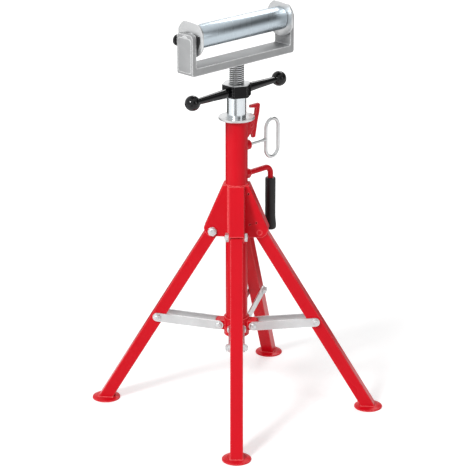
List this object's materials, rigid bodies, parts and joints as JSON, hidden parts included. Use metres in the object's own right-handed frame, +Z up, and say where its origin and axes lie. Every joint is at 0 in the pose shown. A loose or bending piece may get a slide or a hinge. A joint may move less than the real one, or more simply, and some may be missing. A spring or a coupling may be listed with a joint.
{
  "type": "folding pipe stand",
  "caption": "Folding stand with splayed tube legs, telescoping post, screw jack and a roller between guard discs that carries pipe.",
  "frame": {"origin": "on the floor, under the middle of the rectangle that the feet and head fill in plan", "axes": "+Z up along the post; -Y towards the front leg, +X towards the right leg"},
  "size_m": [0.5936, 0.5864, 0.8215],
  "materials": {
    "red_paint": "satin red enamel",
    "zinc": "bright zinc plate",
    "post_steel": "bright zinc-plated tube",
    "cast_alloy": "grey cast frame, lightly rough",
    "roller_steel": "polished steel roller",
    "black_plastic": "glossy black",
    "black_steel": "glossy black enamel",
    "grip_rubber": "matt black grip",
    "bearing_steel": "ground bearing ring"
  },
  "bodies": {
    "stand": {"outer_post": "red_paint", "post_stop_ring": "red_paint", "pin_boss": "red_paint", "clamp_nut": "red_paint", "hook_lugs": "red_paint", "hook_pin": "red_paint", "upper_bracket_front": "red_paint", "upper_bracket_right": "red_paint", "upper_bracket_rear": "red_paint", "upper_bracket_left": "red_paint", "hinge_bolt_front": "zinc", "hinge_bolt_right": "zinc", "hinge_bolt_rear": "zinc", "hinge_bolt_left": "zinc"},
    "sliding_collar": {"collar": "red_paint", "collar_pin_front": "zinc", "collar_pin_right": "zinc", "collar_pin_rear": "zinc", "collar_pin_left": "zinc"},
    "lift_post": {"inner_post": "post_steel", "stop_flange": "zinc"},
    "hand_nut": {"hand_hub": "black_steel", "hand_arm_front": "black_steel", "hand_arm_rear": "black_steel", "hand_ball_front": "black_plastic", "hand_ball_rear": "black_plastic"},
    "roller_head": {"jack_screw": "zinc", "head_frame": "cast_alloy", "axle": "zinc", "guard_disc_front": "cast_alloy", "guard_disc_rear": "cast_alloy", "spacer_front": "zinc", "spacer_rear": "zinc"},
    "roller": {"roller_tube": "roller_steel", "roller_hub_front": "zinc", "roller_hub_rear": "zinc", "bearing_front": "bearing_steel", "bearing_rear": "bearing_steel"},
    "post_pin": {"lock_pin": "zinc"},
    "clamp_handle": {"clamp_rod": "red_paint", "clamp_grip": "grip_rubber"},
    "latch": {"hook_latch": "red_paint"},
    "front_leg": {"leg_front": "red_paint", "foot_front": "red_paint"},
    "front_link": {"link_straps_front": "zinc", "link_studs_front": "zinc"},
    "right_leg": {"leg_right": "red_paint", "foot_right": "red_paint"},
    "right_link": {"link_straps_right": "zinc", "link_studs_right": "zinc"},
    "rear_leg": {"leg_rear": "red_paint", "foot_rear": "red_paint"},
    "rear_link": {"link_straps_rear": "zinc", "link_studs_rear": "zinc"},
    "left_leg": {"leg_left": "red_paint", "foot_left": "red_paint"},
    "left_link": {"link_straps_left": "zinc", "link_studs_left": "zinc"}
  },
  "joints": [
    {"name": "front_leg_fold", "type": "hinge", "parent": "stand", "child": "front_leg", "pos_m": [0, -0.047, 0.375], "axis": [1, 0, 0], "range_deg": [0, 22]},
    {"name": "right_leg_fold", "type": "hinge", "parent": "stand", "child": "right_leg", "pos_m": [0.04682, -0.0041, 0.375], "axis": [0.0872, 0.9962, 0], "range_deg": [0, 22]},
    {"name": "rear_leg_fold", "type": "hinge", "parent": "stand", "child": "rear_leg", "pos_m": [0.01216, 0.0454, 0.375], "axis": [-0.9659, 0.2588, 0], "range_deg": [0, 22]},
    {"name": "left_leg_fold", "type": "hinge", "parent": "stand", "child": "left_leg", "pos_m": [-0.04682, 0.0041, 0.375], "axis": [-0.0872, -0.9962, 0], "range_deg": [0, 22]},
    {"name": "collar_slide", "type": "slide", "parent": "stand", "child": "sliding_collar", "axis": [0, 0, 1], "range_m": [0, 0.1017]},
    {"name": "front_link_swing", "type": "hinge", "parent": "sliding_collar", "child": "front_link", "pos_m": [0, -0.035, 0.174], "axis": [1, 0, 0], "range_deg": [0, 74.8]},
    {"name": "right_link_swing", "type": "hinge", "parent": "sliding_collar", "child": "right_link", "pos_m": [0.03487, -0.00305, 0.174], "axis": [0.0872, 0.9962, 0], "range_deg": [0, 74.8]},
    {"name": "rear_link_swing", "type": "hinge", "parent": "sliding_collar", "child": "rear_link", "pos_m": [0.00906, 0.03381, 0.174], "axis": [-0.9659, 0.2588, 0], "range_deg": [0, 74.8]},
    {"name": "left_link_swing", "type": "hinge", "parent": "sliding_collar", "child": "left_link", "pos_m": [-0.03487, 0.00305, 0.174], "axis": [-0.0872, -0.9962, 0], "range_deg": [0, 74.8]},
    {"name": "lift_slide", "type": "slide", "parent": "stand", "child": "lift_post", "axis": [0, 0, 1], "range_m": [0, 0.32]},
    {"name": "hand_nut_turn", "type": "hinge", "parent": "lift_post", "child": "hand_nut", "pos_m": [0, 0, 0.663], "axis": [0, 0, 1], "range_deg": [-6300, 2250]},
    {"name": "screw_lift", "type": "slide", "parent": "lift_post", "child": "roller_head", "axis": [0, 0, 1], "range_m": [-0.0255, 0.0705]},
    {"name": "roller_spin", "type": "hinge", "parent": "roller_head", "child": "roller", "pos_m": [0, 0, 0.787], "axis": [0.7193, 0.6947, 0], "continuous": true},
    {"name": "post_pin_slide", "type": "slide", "parent": "stand", "child": "post_pin", "axis": [0.7071, 0.7071, 0], "range_m": [-0.017, 0.012]},
    {"name": "clamp_turn", "type": "hinge", "parent": "stand", "child": "clamp_handle", "pos_m": [0.02121, 0.02121, 0.486], "axis": [0.7071, 0.7071, 0], "range_deg": [-90, 90]},
    {"name": "latch_swing", "type": "hinge", "parent": "stand", "child": "latch", "pos_m": [0.02581, 0.02581, 0.585], "axis": [-0.7071, 0.7071, 0], "range_deg": [-8, 12]}
  ],
  "couplings": [
    {"joint": "right_leg_fold", "follows": "front_leg_fold", "ratio": 1},
    {"joint": "rear_leg_fold", "follows": "front_leg_fold", "ratio": 1},
    {"joint": "left_leg_fold", "follows": "front_leg_fold", "ratio": 1},
    {"joint": "collar_slide", "follows": "front_leg_fold", "m_per_rad": 0.2635},
    {"joint": "front_link_swing", "follows": "front_leg_fold", "ratio": 3.3771},
    {"joint": "right_link_swing", "follows": "front_leg_fold", "ratio": 3.3771},
    {"joint": "rear_link_swing", "follows": "front_leg_fold", "ratio": 3.3771},
    {"joint": "left_link_swing", "follows": "front_leg_fold", "ratio": 3.3771},
    {"joint": "screw_lift", "follows": "hand_nut_turn", "m_per_rad": -0.00063662}
  ]
}
